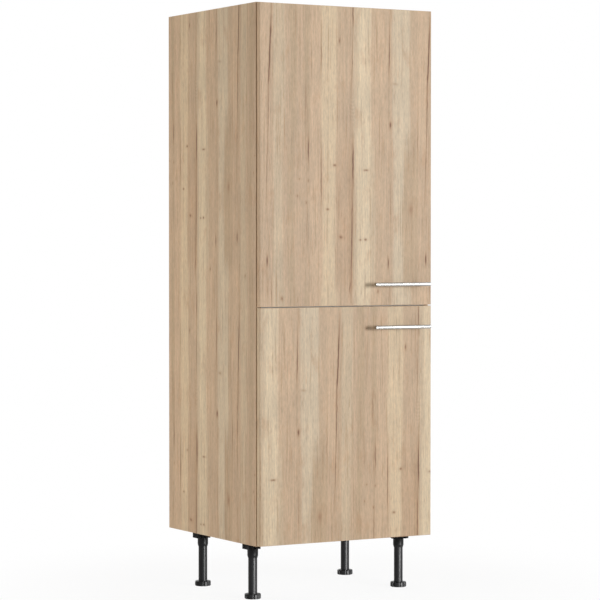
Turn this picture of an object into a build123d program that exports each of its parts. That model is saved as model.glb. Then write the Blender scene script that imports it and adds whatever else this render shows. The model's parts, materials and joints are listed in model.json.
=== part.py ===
from build123d import *
from math import cos, pi, sin
import os

# Mid-height kitchen cabinet: a two-door carcass on four levelling legs.
# All sizes are in millimetres. X runs to the right, the front faces -Y, and Z is up from the floor.

# Carcass boards
carcass_width = 600.0
carcass_height = 1600.0
carcass_depth = 563.0
board = 16.0
leg_height = 168.0
back_board = 3.0
back_inset = 12.0
groove_depth = 8.0
groove_play = 0.2
back_joint = 1.0
back_screw_diameter = 3.0
back_screw_length = 16.0
back_screw_head = 6.0
back_screw_head_height = 1.5
back_screw_inset = 90.0

# Doors
door_thickness = 19.0
door_gap = 2.0
door_reveal = 2.0
doors_gap = 3.0
lower_door_height = 701.0
door_edge_radius = 1.0
bumper_diameter = 10.0
bumper_play = 0.2
bumper_inset = 22.0

# Loose shelves
shelf_setback = 20.0
shelf_play = 1.0
shelf_back_play = 2.0
system_row = 37.0
system_pitch = 32.0
spare_rows = 1
shelf_pin_diameter = 5.0
shelf_pin_depth = 9.0
shelf_pin_reach = 8.0
shelf_pin_collar = 8.0
shelf_pin_collar_thickness = 0.8
pin_hole_play = 0.2

# Carcass fittings
fitting_inset = 45.0
fitting_pitch = 32.0
dowel_diameter = 8.0
dowel_length = 30.0
dowel_in_side = 10.0
dowel_end_play = 1.0
cam_diameter = 15.0
cam_height = 12.0
cam_distance = 34.0
cam_slot = 7.0
bolt_diameter = 6.0
bolt_in_side = 11.0
bolt_past_rim = 4.0
bolt_bore_play = 0.5

# Wall angles under the top panel
angle_inset = 104.0
angle_width = 30.0
angle_depth = 28.0
angle_drop = 36.0
angle_sheet = 2.0
angle_bend_radius = 1.5
wall_hole = 6.0
wall_hole_drop = 20.0
angle_screw_diameter = 4.0
angle_screw_length = 14.0
angle_screw_head = 8.0
angle_screw_head_height = 2.0

# Legs
leg_inset_side = 43.0
leg_inset_front = 98.5
leg_row_distance = 320.0
flange_diameter = 48.4
flange_thickness = 4.0
rib_count = 8
rib_thickness = 2.2
rib_drop = 19.0
lug_reach = 27.7
lug_width = 28.8
lug_ribs = 4
lug_rib_thickness = 3.0
collar_diameter = 32.5
collar_drop = 45.5
collar_chamfer_height = 7.5
collar_chamfer = 1.9
stem_diameter = 27.0
stem_seat_drop = 9.0
stem_wall = 5.5
stem_cavity = 70.0
foot_diameter = 49.0
foot_height = 15.0
foot_edge = 1.5
foot_notches = 8
foot_notch_diameter = 9.0
foot_notch_depth = 2.6
foot_play = 0.3
spindle_length = 52.0
spindle_play = 0.3
socket_screw_diameter = 4.0
socket_screw_length = 14.0
socket_screw_head = 6.6
socket_screw_head_height = 2.2
socket_screw_circle = 40.4

# Handles
handle_diameter = 12.0
handle_length = 196.0
handle_hole_spacing = 128.0
handle_reach = 35.0
handle_edge_distance = 63.0
handle_side_distance = 20.5
handle_end_chamfer = 0.8
post_diameter = 10.0
handle_screw_diameter = 4.0
handle_screw_in_post = 9.0
handle_screw_head = 8.5
handle_screw_head_height = 2.6
handle_hole_play = 1.0

# Concealed hinges
hinge_inset = 98.0
cup_diameter = 35.0
cup_depth = 12.0
cup_wall = 1.0
cup_edge = 5.5
cup_play = 0.2
cup_rim = 1.5
cup_flange = 1.0
cup_ear_radius = 6.0
cup_screw_offset = 9.5
cup_screw_spacing = 45.0
cup_screw_diameter = 3.5
cup_screw_length = 13.0
cup_screw_head = 7.0
cup_screw_head_height = 1.0
hinge_pin_radius = 1.2
hinge_pin_play = 0.2
link_half_width = 1.8
link_eye_radius = 2.6
inner_link_width = 5.2
layer_play = 0.3
cup_ear_sheet = 1.0
outer_link_sheet = 1.4
arm_sheet = 1.2
slot_play = 0.65
slot_travel = 2.0
slot_offset = 0.2
arm_base_depth = 12.0
arm_length = 56.0
plate_base = 3.0
plate_wing_radius = 7.0
plate_block_length = 36.0
plate_screw_diameter = 4.0
plate_screw_length = 13.0
plate_screw_head = 7.5
plate_screw_head_height = 1.6
arm_screw_diameter = 4.0
arm_screw_depth = 8.0
arm_screw_head = 7.0
arm_screw_head_height = 1.4
arm_screw_spacing = 20.0

# Pivots of the hinge in plan, from the cup's centre on the door's back face
cup_floor = -(cup_depth - cup_wall)
cup_rim_left = -cup_diameter / 2
inner_arm_pivot = (14.8, 20.0)
inner_knee = (-1.8, cup_floor + 5.3)
inner_cup_pivot = (cup_rim_left + 5.2, cup_floor + 8.4)
outer_arm_pivot = (10.7, cup_floor + 8.35)
outer_knee = (4.1, cup_floor + 2.1)
outer_cup_pivot = (cup_rim_left + 9.6, cup_floor + 6.1)

# Planes that several pieces share
left = -carcass_width / 2
right = carcass_width / 2
inner_left = left + board
inner_right = right - board
back = (carcass_depth + door_gap + door_thickness + handle_reach) / 2
front = back - carcass_depth
door_back = front - door_gap
door_front = door_back - door_thickness
back_panel_front = back - back_inset - back_board
bottom = leg_height
top = bottom + carcass_height
inner_bottom = bottom + board
inner_top = top - board
lower_door_bottom = bottom + door_reveal
lower_door_top = lower_door_bottom + lower_door_height
upper_door_bottom = lower_door_top + doors_gap
upper_door_top = top - door_reveal
door_left = left + door_reveal
door_right = right - door_reveal
middle_height = lower_door_top + doors_gap / 2
middle_bottom = middle_height - board / 2
middle_top = middle_height + board / 2

# Heights of the loose shelves' pins, from bay heights shared out evenly
lower_bay = middle_bottom - inner_bottom
upper_bay = inner_top - middle_top
lower_shelf_pin = inner_bottom + lower_bay / 2
upper_low_pin = middle_top + upper_bay / 3
upper_high_pin = middle_top + 2 * upper_bay / 3
shelf_pin_heights = (lower_shelf_pin, upper_low_pin, upper_high_pin)
pin_rows = (front + system_row, back_panel_front - system_row)

# Fixed panels as (height of the board's middle, direction of the face that the cams are let into)
fixed_panels = {
    "bottom_panel": (bottom + board / 2, -1),
    "fixed_middle_shelf": (middle_height, -1),
    "top_panel": (top - board / 2, 1),
}

# Y places of the cam bolts, each with the dowel beside it
front_bolt = front + fitting_inset
rear_bolt = back_panel_front - fitting_inset
fitting_rows = ((front_bolt, front_bolt + fitting_pitch), (rear_bolt, rear_bolt - fitting_pitch))

# Hinge places
cup_x = door_left + cup_edge + cup_diameter / 2
hinge_heights = {
    "upper": (upper_door_bottom + hinge_inset, upper_door_top - hinge_inset),
    "lower": (lower_door_bottom + hinge_inset, lower_door_top - hinge_inset),
}

# Layers of the hinge, as distances from its middle plane
inner_link_face = inner_link_width / 2
inner_ear = (inner_link_face + layer_play, inner_link_face + layer_play + cup_ear_sheet)
outer_link = (inner_ear[1] + layer_play, inner_ear[1] + layer_play + outer_link_sheet)
outer_ear = (outer_link[1] + layer_play, outer_link[1] + layer_play + cup_ear_sheet)
arm_cheek = (outer_ear[1] + layer_play, outer_ear[1] + layer_play + arm_sheet)

# Handle and bumper places
handle_centre_x = door_right - handle_side_distance - handle_length / 2
handle_axis_y = door_front - handle_reach + handle_diameter / 2
handle_post_x = [handle_centre_x + side * handle_hole_spacing / 2 for side in (-1, 1)]
handle_heights = {
    "upper": upper_door_bottom + handle_edge_distance,
    "lower": lower_door_top - handle_edge_distance,
}
bumper_x = right - board / 2
door_spans = {
    "upper": (upper_door_bottom, upper_door_top),
    "lower": (lower_door_bottom, lower_door_top),
}

# Leg places
leg_places = {
    "front_left": (left + leg_inset_side, front + leg_inset_front),
    "front_right": (right - leg_inset_side, front + leg_inset_front),
    "rear_left": (left + leg_inset_side, front + leg_inset_front + leg_row_distance),
    "rear_right": (right - leg_inset_side, front + leg_inset_front + leg_row_distance),
}


def write(node, *solids):
    """Save one node, a single solid or a group of separate solids."""
    shape = solids[0] if len(solids) == 1 else Compound(list(solids))
    export_step(shape, f"parts/{node}.step")


def block(x_span, y_span, z_span):
    """A box between two X values, two Y values and two Z values."""
    spans = (x_span, y_span, z_span)
    centre = [(low + high) / 2 for low, high in spans]
    size = [high - low for low, high in spans]
    return Pos(*centre) * Box(*size)


def rod(start, direction, diameter, length):
    """A round rod that leaves a point along a direction."""
    base = Plane(origin=start, z_dir=direction)
    return base * Cylinder(diameter / 2, length, align=(Align.CENTER, Align.CENTER, Align.MIN))


def screw(seat, direction, diameter, length, head_diameter, head_height):
    """A pan-head screw: the head stands on its seat and the shank goes in along a direction."""
    outwards = tuple(-part for part in direction)
    return rod(seat, direction, diameter, length) + rod(seat, outwards, head_diameter, head_height)


def plate(outline, low, high):
    """A flat plate with a plan outline, between two heights."""
    return Pos(0, 0, low) * extrude(outline, high - low)


def plate_pair(outline, span):
    """Two equal plates, one each side of the middle plane."""
    return [plate(outline, span[0], span[1]), plate(outline, -span[1], -span[0])]


def capsule(start, end, start_radius, end_radius):
    """The outline round two circles."""
    circles = Pos(*start) * Circle(start_radius), Pos(*end) * Circle(end_radius)
    return make_hull(circles[0].edges() + circles[1].edges())


def sides():
    """The inner face and the outward direction of each side panel."""
    return ((inner_left, -1), (inner_right, 1))


def pin_heights_with_spares():
    """Heights of the shelf-pin holes: each shelf's own hole and the spare ones above and below it."""
    steps = range(-spare_rows, spare_rows + 1)
    return [height + step * system_pitch for height in shelf_pin_heights for step in steps]


def side_panel(face, outward):
    """A side panel with its groove and the holes for pins, bolts, dowels and hinge plates."""
    x_span = sorted((face, face + outward * board))
    panel = block(x_span, (front, back), (bottom, top))
    groove_x = sorted((face, face + outward * groove_depth))
    groove_y = (back_panel_front - groove_play, back_panel_front + back_board + groove_play)
    into = (outward, 0, 0)
    cuts = [block(groove_x, groove_y, (bottom, top))]
    for height in pin_heights_with_spares():
        for row in pin_rows:
            hole = shelf_pin_diameter + 2 * pin_hole_play
            cuts.append(rod((face, row, height), into, hole, shelf_pin_depth + pin_hole_play))
    for height, _ in fixed_panels.values():
        for bolt_row, dowel_row in fitting_rows:
            cuts.append(rod((face, bolt_row, height), into, bolt_diameter, bolt_in_side))
            cuts.append(rod((face, dowel_row, height), into, dowel_diameter, dowel_in_side))
    if outward < 0:
        for height in [height for pair in hinge_heights.values() for height in pair]:
            for z in (height - system_pitch / 2, height + system_pitch / 2):
                depth = plate_screw_length - plate_base
                cuts.append(rod((face, front + system_row, z), into, plate_screw_diameter, depth))
    return panel - cuts


def cam_centre(face, outward):
    """X place of a cam lock, measured into the carcass from a side's inner face."""
    return face - outward * cam_distance


def fixed_panel(name):
    """The top, bottom or fixed middle shelf, bored for its cams, bolts and dowels."""
    height, cam_side = fixed_panels[name]
    z_span = (height - board / 2, height + board / 2)
    panel = block((inner_left, inner_right), (front, back_panel_front), z_span)
    cuts = []
    for face, outward in sides():
        inwards = (-outward, 0, 0)
        for bolt_row, dowel_row in fitting_rows:
            cam_seat = (cam_centre(face, outward), bolt_row, height + cam_side * board / 2)
            cuts.append(rod(cam_seat, (0, 0, -cam_side), cam_diameter, cam_height))
            bore = bolt_diameter + 2 * bolt_bore_play
            cuts.append(rod((face, bolt_row, height), inwards, bore, cam_distance))
            dowel_hole = dowel_length - dowel_in_side + dowel_end_play
            cuts.append(rod((face, dowel_row, height), inwards, dowel_diameter, dowel_hole))
    if name == "top_panel":
        cuts += [angle_screw(x) for x in angle_places()]
    if name == "bottom_panel":
        cuts += [solid for place in leg_places.values() for solid in leg_screws(place)]
    screw_rows = back_screws_of(name)
    return panel - cuts - screw_rows


def cam_locks():
    """The cam discs, each with the round slot that its bolt enters."""
    discs = []
    for height, cam_side in fixed_panels.values():
        for face, outward in sides():
            for bolt_row, _ in fitting_rows:
                centre = (cam_centre(face, outward), bolt_row, height + cam_side * board / 2)
                disc = rod(centre, (0, 0, -cam_side), cam_diameter, cam_height)
                slot_start = (centre[0] + outward * cam_diameter, bolt_row, height)
                discs.append(disc - rod(slot_start, (-outward, 0, 0), cam_slot, cam_diameter))
    return discs


def cam_bolts():
    """The bolts screwed into the sides, reaching into the cams' slots."""
    length = bolt_in_side + cam_distance - cam_diameter / 2 + bolt_past_rim
    bolts = []
    for height, _ in fixed_panels.values():
        for face, outward in sides():
            for bolt_row, _ in fitting_rows:
                start = (face + outward * bolt_in_side, bolt_row, height)
                bolts.append(rod(start, (-outward, 0, 0), bolt_diameter, length))
    return bolts


def wooden_dowels():
    """The dowels between the sides and the fixed panels."""
    dowels = []
    for height, _ in fixed_panels.values():
        for face, outward in sides():
            for _, dowel_row in fitting_rows:
                start = (face + outward * dowel_in_side, dowel_row, height)
                dowels.append(rod(start, (-outward, 0, 0), dowel_diameter, dowel_length))
    return dowels


def back_panel(low, high):
    """A thin back panel between two heights, held in the sides' grooves."""
    reach = groove_depth - groove_play
    x_span = (inner_left - reach, inner_right + reach)
    panel = block(x_span, (back_panel_front, back_panel_front + back_board), (low, high))
    holes = [rod((x, back, top - board - wall_hole_drop), (0, -1, 0), wall_hole, back_inset + back_board)
             for x in angle_places()]
    return panel - holes - [solid for name in fixed_panels for solid in back_screws_of(name)]


def back_screws_of(name):
    """The screws that hold the back panels to one fixed panel's rear edge."""
    height, _ = fixed_panels[name]
    rear = back_panel_front + back_board
    heights = [height]
    if name == "fixed_middle_shelf":
        heights = [height - board / 4, height + board / 4]
    places = (inner_left + back_screw_inset, 0, inner_right - back_screw_inset)
    return [screw((x, rear, z), (0, -1, 0), back_screw_diameter, back_screw_length,
                  back_screw_head, back_screw_head_height) for x in places for z in heights]


def loose_shelf(pin_height):
    """A loose shelf that lies on its four pins."""
    bottom_face = pin_height + shelf_pin_diameter / 2
    x_span = (inner_left + shelf_play, inner_right - shelf_play)
    y_span = (front + shelf_setback, back_panel_front - shelf_back_play)
    return block(x_span, y_span, (bottom_face, bottom_face + board))


def shelf_pins():
    """The shelf pins, each with the thin collar that stops it at the side's face."""
    pins = []
    for height in shelf_pin_heights:
        for face, outward in sides():
            for row in pin_rows:
                start = (face + outward * shelf_pin_depth, row, height)
                length = shelf_pin_depth + shelf_pin_reach
                pin = rod(start, (-outward, 0, 0), shelf_pin_diameter, length)
                collar = rod((face, row, height), (-outward, 0, 0), shelf_pin_collar,
                             shelf_pin_collar_thickness)
                pins.append(pin + collar)
    return pins


def angle_places():
    """X places of the two wall angles."""
    return (inner_left + angle_inset, inner_right - angle_inset)


def angle_screw(x):
    """The screw that holds one wall angle up under the top panel."""
    seat = (x, back_panel_front - angle_depth / 2, inner_top - angle_sheet)
    return screw(seat, (0, 0, 1), angle_screw_diameter, angle_screw_length,
                 angle_screw_head, angle_screw_head_height)


def wall_angle(x):
    """A bent steel angle, one leg under the top panel and one against the back panel."""
    x_span = (x - angle_width / 2, x + angle_width / 2)
    under_face = inner_top - angle_sheet
    front_face = back_panel_front - angle_sheet
    flat = block(x_span, (back_panel_front - angle_depth, back_panel_front), (under_face, inner_top))
    upright = block(x_span, (front_face, back_panel_front), (inner_top - angle_drop, inner_top))
    angle = flat + upright
    bend = angle.edges().filter_by(Axis.X).sort_by_distance((x, front_face, under_face))[0]
    angle = fillet(bend, angle_bend_radius)
    hole_start = (x, back_panel_front - angle_depth / 2, inner_top - wall_hole_drop)
    return angle - rod(hole_start, (0, 1, 0), wall_hole, angle_depth) - angle_screw(x)


def leg_outward(place):
    """The way from a leg to the nearer side of the cabinet, as a sign along X."""
    return 1 if place[0] > 0 else -1


def leg_screw_places(place):
    """Plan places of one leg socket's four screws, between the ribs of its inner half."""
    offset = socket_screw_circle / 2
    turns = [pi + (2 * step + 1) * pi / rib_count for step in range(-2, 2)]
    outward = leg_outward(place)
    return [(place[0] + outward * offset * cos(turn), place[1] + offset * sin(turn)) for turn in turns]


def leg_screws(place):
    """The four screws of one leg socket."""
    return [screw((x, y, bottom - flange_thickness), (0, 0, 1), socket_screw_diameter, socket_screw_length,
                  socket_screw_head, socket_screw_head_height) for x, y in leg_screw_places(place)]


def turned(points):
    """A solid of revolution about Z from an outline in radius and height."""
    return revolve(Plane.XZ * make_face(Polyline(*points, close=True)), Axis.Z)


def leg_lug(outward):
    """The socket's lug below the side panel: a plate with ribs that run outward."""
    root = (stem_diameter + collar_chamfer) / 2
    plate_length = lug_reach - root
    plate = Pos(root + plate_length / 2, 0, -flange_thickness / 2) * Box(plate_length, lug_width, flange_thickness)
    spacing = (lug_width - lug_rib_thickness) / (lug_ribs - 1)
    middle = (lug_ribs - 1) / 2
    rib = Box(plate_length, lug_rib_thickness, rib_drop)
    ribs = [Pos(root + plate_length / 2, (number - middle) * spacing, -rib_drop / 2) * rib
            for number in range(lug_ribs)]
    return Rot(0, 0, 0 if outward > 0 else 180) * (plate + ribs)


def leg_socket(place):
    """A moulded socket: a round flange, radial ribs, a lug and a collar that takes the stem."""
    flange_radius = flange_diameter / 2
    collar_radius = collar_diameter / 2
    stem_radius = stem_diameter / 2
    body = turned([
        (0, 0),
        (flange_radius, 0),
        (flange_radius, -flange_thickness),
        (collar_radius, -flange_thickness),
        (collar_radius, collar_chamfer_height - collar_drop),
        (collar_radius - collar_chamfer, -collar_drop),
        (stem_radius, -collar_drop),
        (stem_radius, -stem_seat_drop),
        (0, -stem_seat_drop),
    ])
    rib_outline = make_face(Polyline(
        (stem_radius + collar_chamfer / 2, -flange_thickness),
        (flange_radius, -flange_thickness),
        (flange_radius, -rib_drop),
        (stem_radius + collar_chamfer / 2, -rib_drop),
        close=True,
    ))
    rib = extrude(Plane.XZ * rib_outline, rib_thickness / 2, both=True)
    ribs = [Rot(0, 0, 360 / rib_count * number) * rib for number in range(rib_count)]
    socket = Pos(place[0], place[1], bottom) * (body + ribs + leg_lug(leg_outward(place)))
    return socket - leg_screws(place)


def leg_stem(place):
    """A plain round stem, pushed into its socket and hollow below for the foot's spindle."""
    low = foot_height + foot_play
    high = bottom - stem_seat_drop
    stem = rod((place[0], place[1], low), (0, 0, 1), stem_diameter, high - low)
    return stem - rod((place[0], place[1], low), (0, 0, 1), stem_diameter - 2 * stem_wall, stem_cavity)


def foot(place):
    """A screw foot: a notched disc on the floor and the spindle inside the stem."""
    radius = foot_diameter / 2
    disc = turned([
        (0, 0),
        (radius - foot_edge, 0),
        (radius, foot_edge),
        (radius, foot_height - foot_edge),
        (radius - foot_edge, foot_height),
        (0, foot_height),
    ])
    notch_circle = radius + foot_notch_diameter / 2 - foot_notch_depth
    notches = []
    for number in range(foot_notches):
        turn = 2 * pi * (number + 0.5) / foot_notches
        centre = (notch_circle * cos(turn), notch_circle * sin(turn), 0)
        notches.append(rod(centre, (0, 0, 1), foot_notch_diameter, foot_height))
    spindle_diameter = stem_diameter - 2 * stem_wall - 2 * spindle_play
    spindle = rod((0, 0, foot_height), (0, 0, 1), spindle_diameter, spindle_length)
    return Pos(place[0], place[1], 0) * (disc - notches + spindle)


def cup_screw_places():
    """Places of a cup's screws on the door's back face, from the cup's centre."""
    return [(cup_screw_offset, side * cup_screw_spacing / 2) for side in (-1, 1)]


def hinge_cup_screws():
    """The two screws of one hinge cup, at the origin of the hinge."""
    return [screw((p, cup_flange, z), (0, -1, 0), cup_screw_diameter, cup_screw_length,
                  cup_screw_head, cup_screw_head_height) for p, z in cup_screw_places()]


def hinge_cup():
    """A hinge cup: shell, flange with screw ears, and two pairs of inner ears that carry the pins."""
    face = Plane(origin=(0, 0, 0), x_dir=(1, 0, 0), z_dir=(0, 1, 0))
    rim = Circle(cup_diameter / 2 + cup_rim)
    ears = [Pos(p, z) * Circle(cup_ear_radius) for p, z in cup_screw_places()]
    flange = make_hull(rim.edges() + ears[0].edges() + ears[1].edges())
    shell = rod((0, 0, 0), (0, -1, 0), cup_diameter, cup_depth) + extrude(face * flange, cup_flange)
    mouth = rod((0, cup_flange, 0), (0, -1, 0), cup_diameter - 2 * cup_wall, cup_flange - cup_floor)
    shell -= mouth
    inner = plate_pair(cup_ear(inner_cup_pivot), inner_ear)
    outer = plate_pair(cup_ear(outer_cup_pivot), outer_ear)
    cup = shell + inner + outer
    return cup - cup_pins() - hinge_cup_screws()


def cup_ear(pivot):
    """The plan outline of an ear that stands on the cup's floor and goes round a pin."""
    head = Pos(*pivot) * Circle(link_eye_radius - hinge_pin_play)
    root_width = 2 * link_eye_radius
    root = Pos(pivot[0], cup_floor) * Rectangle(root_width - 2 * hinge_pin_play, cup_wall)
    return make_hull(head.edges() + root.edges())


def pin_through(pivot, reach):
    """One long pin across the hinge's middle plane."""
    return rod((pivot[0], pivot[1], -reach), (0, 0, 1), 2 * hinge_pin_radius, 2 * reach)


def pin_stubs(pivot, low, high):
    """Two short pins, one each side of the middle plane."""
    diameter = 2 * hinge_pin_radius
    upper = rod((pivot[0], pivot[1], low), (0, 0, 1), diameter, high - low)
    lower = rod((pivot[0], pivot[1], -low), (0, 0, -1), diameter, high - low)
    return [upper, lower]


def cup_pins():
    """The pins that the cup carries: one for the inner link and two for the outer link."""
    stubs = pin_stubs(outer_cup_pivot, outer_link[0], outer_ear[1])
    return [pin_through(inner_cup_pivot, inner_ear[1])] + stubs


def arm_pins():
    """The pins that the arm carries."""
    stubs = pin_stubs(outer_arm_pivot, outer_link[0], arm_cheek[1])
    return [pin_through(inner_arm_pivot, arm_cheek[1])] + stubs


def link_hole():
    """Radius of a link's hole on a pin."""
    return hinge_pin_radius + hinge_pin_play


def inner_link():
    """The inner link: one cranked bar in the middle of the hinge."""
    arm_end = capsule(inner_arm_pivot, inner_knee, link_eye_radius, link_half_width)
    cup_end = capsule(inner_knee, inner_cup_pivot, link_half_width, link_eye_radius - hinge_pin_play)
    outline = arm_end + cup_end
    outline -= Pos(*inner_arm_pivot) * Circle(link_hole())
    outline -= Pos(*inner_cup_pivot) * Circle(link_hole())
    return plate(outline, -inner_link_face, inner_link_face)


def outer_links():
    """The outer link: two cranked plates, with a slot where the linkage is open."""
    slot_radius = hinge_pin_radius + slot_play
    slot_start = (outer_cup_pivot[0] + slot_offset, outer_cup_pivot[1])
    slot_end = (slot_start[0], slot_start[1] - slot_travel)
    eye_radius = slot_radius + cup_wall
    arm_end = capsule(outer_arm_pivot, outer_knee, link_eye_radius, link_half_width)
    cup_end = capsule(outer_knee, slot_end, link_half_width, eye_radius)
    outline = arm_end + cup_end + capsule(slot_start, slot_end, eye_radius, eye_radius)
    outline -= Pos(*outer_arm_pivot) * Circle(link_hole())
    outline -= capsule(slot_start, slot_end, slot_radius, slot_radius)
    return plate_pair(outline, outer_link)


def arm_top():
    """Plan X of the arm's outer surface, from the cup's centre."""
    return inner_arm_pivot[0] + link_eye_radius


def arm_rear():
    """Plan Y of the arm's rear end, from the door's back face."""
    return inner_arm_pivot[1] + arm_length


def arm_screw_places():
    """Plan Y places of the arm's two screws."""
    middle = arm_rear() - plate_block_length / 2
    return (middle - arm_screw_spacing / 2, middle + arm_screw_spacing / 2)


def arm_screws():
    """The screws that hold and adjust the arm on its plate."""
    return [screw((arm_top(), y, 0), (-1, 0, 0), arm_screw_diameter, arm_screw_depth,
                  arm_screw_head, arm_screw_head_height) for y in arm_screw_places()]


def hinge_arm():
    """The arm: a bent channel with two cheeks that run forward to the pins."""
    nose = make_hull(
        (Pos(*inner_arm_pivot) * Circle(link_eye_radius)).edges()
        + (Pos(*outer_arm_pivot) * Circle(link_eye_radius)).edges()
    )
    rear_centre = (arm_top() - arm_base_depth / 2, (inner_arm_pivot[1] + arm_rear()) / 2)
    rear = Pos(*rear_centre) * Rectangle(arm_base_depth, arm_length)
    cheeks = plate_pair(nose + rear, arm_cheek)
    web_y = (inner_arm_pivot[1] + 2 * link_eye_radius, arm_rear())
    web = block((arm_top() - arm_sheet, arm_top()), web_y, (-arm_cheek[1], arm_cheek[1]))
    return web + cheeks - arm_pins() - arm_screws()


def plate_screws():
    """The two screws of one mounting plate, at the origin of the hinge."""
    base_top = inner_left + plate_base - cup_x
    row = front + system_row - door_back
    return [screw((base_top, row, side * system_pitch / 2), (-1, 0, 0), plate_screw_diameter,
                  plate_screw_length, plate_screw_head, plate_screw_head_height) for side in (-1, 1)]


def mounting_plate():
    """A mounting plate: a winged base on the side panel and the block that the arm sits over."""
    side_face = inner_left - cup_x
    row = front + system_row - door_back
    base_plane = Plane(origin=(side_face, 0, 0), x_dir=(0, 1, 0), z_dir=(1, 0, 0))
    wings = capsule((row, -system_pitch / 2), (row, system_pitch / 2), plate_wing_radius, plate_wing_radius)
    base = extrude(base_plane * wings, plate_base)
    half_block = arm_cheek[0] - layer_play
    block_y = (arm_rear() - plate_block_length, arm_rear())
    body = block((side_face, arm_top() - arm_sheet), block_y, (-half_block, half_block))
    return base + body - plate_screws() - arm_screws()


def at_hinges(solids, row):
    """Copies of a hinge's solids at both hinges of one door."""
    return [Pos(cup_x, door_back, height) * solid for height in hinge_heights[row] for solid in solids]


def handle_screws(row):
    """The two screws of one handle, put in from the door's back."""
    length = door_thickness + handle_screw_in_post
    return [screw((x, door_back, handle_heights[row]), (0, -1, 0), handle_screw_diameter, length,
                  handle_screw_head, handle_screw_head_height) for x in handle_post_x]


def handle_bar(row):
    """A round bar with its ends broken by a small chamfer."""
    start = (handle_centre_x - handle_length / 2, handle_axis_y, handle_heights[row])
    bar = rod(start, (1, 0, 0), handle_diameter, handle_length)
    return chamfer(bar.edges().filter_by(GeomType.CIRCLE), handle_end_chamfer)


def handle_posts(row):
    """Two posts between the door and the bar, hollowed to fit round the bar."""
    height = handle_heights[row]
    bar_start = (handle_centre_x - handle_length / 2, handle_axis_y, height)
    bar = rod(bar_start, (1, 0, 0), handle_diameter, handle_length)
    length = door_front - handle_axis_y
    posts = [rod((x, door_front, height), (0, -1, 0), post_diameter, length) for x in handle_post_x]
    return [post - bar - handle_screws(row) for post in posts]


def door(row):
    """A door with softened edges, the hinge pockets and the holes for its screws."""
    panel = block((door_left, door_right), (door_front, door_back), door_spans[row])
    perimeter = panel.edges().filter_by(Axis.Y, reverse=True)
    panel = fillet(perimeter, door_edge_radius)
    pocket = rod((0, 0, 0), (0, -1, 0), cup_diameter + 2 * cup_play, cup_depth + cup_play)
    cuts = at_hinges([pocket] + hinge_cup_screws(), row)
    hole = handle_screw_diameter + handle_hole_play
    height = handle_heights[row]
    cuts += [rod((x, door_back, height), (0, -1, 0), hole, door_thickness) for x in handle_post_x]
    return panel - cuts


def bumpers(row):
    """Two soft dots between the door's free edge and the right side panel."""
    low, high = door_spans[row]
    thickness = door_gap - bumper_play
    heights = (low + bumper_inset, high - bumper_inset)
    return [rod((bumper_x, door_back, z), (0, 1, 0), bumper_diameter, thickness) for z in heights]


def write_carcass():
    """Write the boards and fittings that do not move."""
    write("left_side_panel", side_panel(inner_left, -1))
    write("right_side_panel", side_panel(inner_right, 1))
    for name in fixed_panels:
        write(name, fixed_panel(name))
    write("lower_back_panel", back_panel(bottom, middle_height - back_joint / 2))
    write("upper_back_panel", back_panel(middle_height + back_joint / 2, top))
    write("back_panel_screws", *[solid for name in fixed_panels for solid in back_screws_of(name)])
    write("lower_shelf", loose_shelf(lower_shelf_pin))
    write("upper_shelf_low", loose_shelf(upper_low_pin))
    write("upper_shelf_high", loose_shelf(upper_high_pin))
    write("shelf_pins", *shelf_pins())
    write("cam_locks", *cam_locks())
    write("cam_bolts", *cam_bolts())
    write("wooden_dowels", *wooden_dowels())
    write("wall_angles", *[wall_angle(x) for x in angle_places()])
    write("wall_angle_screws", *[angle_screw(x) for x in angle_places()])


def write_legs():
    """Write the four legs and their screws."""
    for corner, place in leg_places.items():
        write(f"leg_socket_{corner}", leg_socket(place))
        write(f"leg_stem_{corner}", leg_stem(place))
        write(f"foot_{corner}", foot(place))
    write("leg_socket_screws", *[solid for place in leg_places.values() for solid in leg_screws(place)])


def write_door(row):
    """Write one door with its handle, bumpers and hinges."""
    write(f"{row}_door", door(row))
    write(f"{row}_handle_bar", handle_bar(row))
    write(f"{row}_handle_posts", *handle_posts(row))
    write(f"{row}_handle_screws", *handle_screws(row))
    write(f"{row}_door_bumpers", *bumpers(row))
    write(f"{row}_hinge_cups", *at_hinges([hinge_cup()], row))
    write(f"{row}_hinge_cup_pins", *at_hinges(cup_pins(), row))
    write(f"{row}_hinge_cup_screws", *at_hinges(hinge_cup_screws(), row))
    write(f"{row}_hinge_inner_links", *at_hinges([inner_link()], row))
    write(f"{row}_hinge_outer_links", *at_hinges(outer_links(), row))
    write(f"{row}_hinge_arms", *at_hinges([hinge_arm()], row))
    write(f"{row}_hinge_arm_pins", *at_hinges(arm_pins(), row))
    write(f"{row}_hinge_plates", *at_hinges([mounting_plate()], row))
    write(f"{row}_hinge_screws", *at_hinges(plate_screws() + arm_screws(), row))


os.makedirs("parts", exist_ok=True)
write_carcass()
write_legs()
write_door("upper")
write_door("lower")
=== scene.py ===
"""Looks of a mid-height kitchen cabinet: decor boards, white inside, plated fittings and black legs.

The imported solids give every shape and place. This script gives each of them its finish, adds the drive
recesses of the screws and cam locks, and sets the studio around the cabinet.
"""

import json
import logging
import math
from dataclasses import dataclass, replace
from enum import Enum
from functools import reduce
from typing import Any, Callable, ClassVar, Iterable, Mapping, Optional, Sequence, Union

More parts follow.
